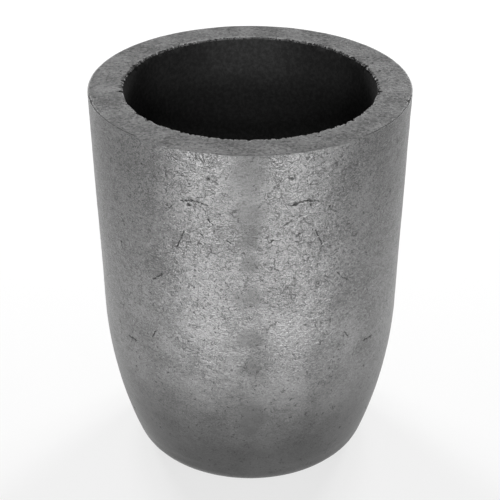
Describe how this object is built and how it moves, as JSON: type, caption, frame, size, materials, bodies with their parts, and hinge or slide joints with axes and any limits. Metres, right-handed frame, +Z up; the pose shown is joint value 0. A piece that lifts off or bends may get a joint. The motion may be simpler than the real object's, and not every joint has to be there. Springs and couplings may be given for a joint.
{
  "type": "foundry crucible",
  "caption": "Thick-walled clay-graphite melting pot with a flat rim, slightly tapered barrel, rounded belly, flat base and a deep round-bottomed bore.",
  "frame": {"origin": "centre of the flat base, on the surface that the crucible stands on", "axes": "+Z up along the axis of revolution, from the base to the open mouth"},
  "size_m": [0.1649, 0.165, 0.207],
  "materials": {
    "clay_graphite": "fired clay-graphite, matt with a faint graphite sheen, finely crinkled"
  },
  "bodies": {
    "root": {"crucible": "clay_graphite"}
  },
  "joints": []
}
